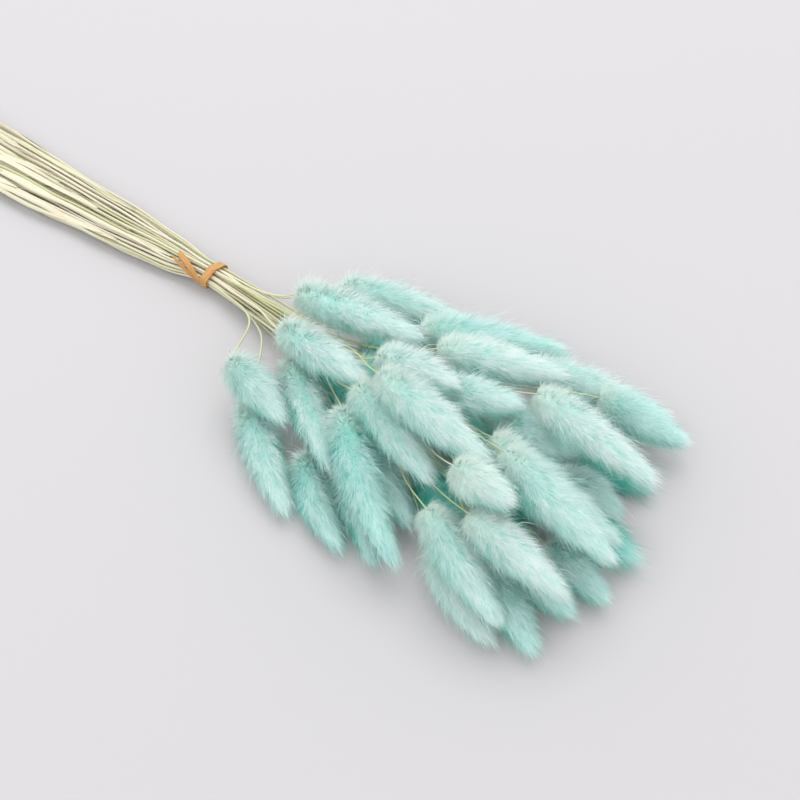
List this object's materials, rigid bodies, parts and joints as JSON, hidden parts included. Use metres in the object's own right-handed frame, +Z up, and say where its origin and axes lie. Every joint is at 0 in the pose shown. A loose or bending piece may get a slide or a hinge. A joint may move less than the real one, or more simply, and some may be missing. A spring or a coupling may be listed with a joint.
{
  "type": "dried grass bunch",
  "caption": "Tied bunch of dried bunny tail grass lying on its side, with soft mint-dyed seed heads spread in a pile and straw-coloured stems held by a flat tan tie.",
  "frame": {"origin": "middle of the bunch's box, on the surface it lies on", "axes": "+X along the bunch from the cut stem ends to the tips of the heads, +Z up from the surface"},
  "size_m": [0.4338, 0.119, 0.0539],
  "materials": {
    "heads": "soft fine hairs, dyed mint, matt",
    "stems": "dried straw, satin",
    "tie": "flat raffia-like strip, satin"
  },
  "bodies": {
    "root": {"head_01": "heads", "head_02": "heads", "head_03": "heads", "head_04": "heads", "head_05": "heads", "head_06": "heads", "head_07": "heads", "head_08": "heads", "head_09": "heads", "head_10": "heads", "head_11": "heads", "head_12": "heads", "head_13": "heads", "head_14": "heads", "head_15": "heads", "head_16": "heads", "head_17": "heads", "head_18": "heads", "head_19": "heads", "head_20": "heads", "head_21": "heads", "head_22": "heads", "head_23": "heads", "head_24": "heads", "head_25": "heads", "head_26": "heads", "head_27": "heads", "head_28": "heads", "head_29": "heads", "head_30": "heads", "head_31": "heads", "head_32": "heads", "head_33": "heads", "head_34": "heads", "head_35": "heads", "head_36": "heads", "head_37": "heads", "head_38": "heads", "head_39": "heads", "head_40": "heads", "head_41": "heads", "head_42": "heads", "stems_01": "stems", "stems_02": "stems", "stems_03": "stems", "stems_04": "stems", "stems_05": "stems", "stems_06": "stems", "stems_07": "stems", "stems_08": "stems", "stems_09": "stems", "stems_10": "stems", "stems_11": "stems", "stems_12": "stems", "stems_13": "stems", "stems_14": "stems", "tie": "tie"}
  },
  "joints": []
}
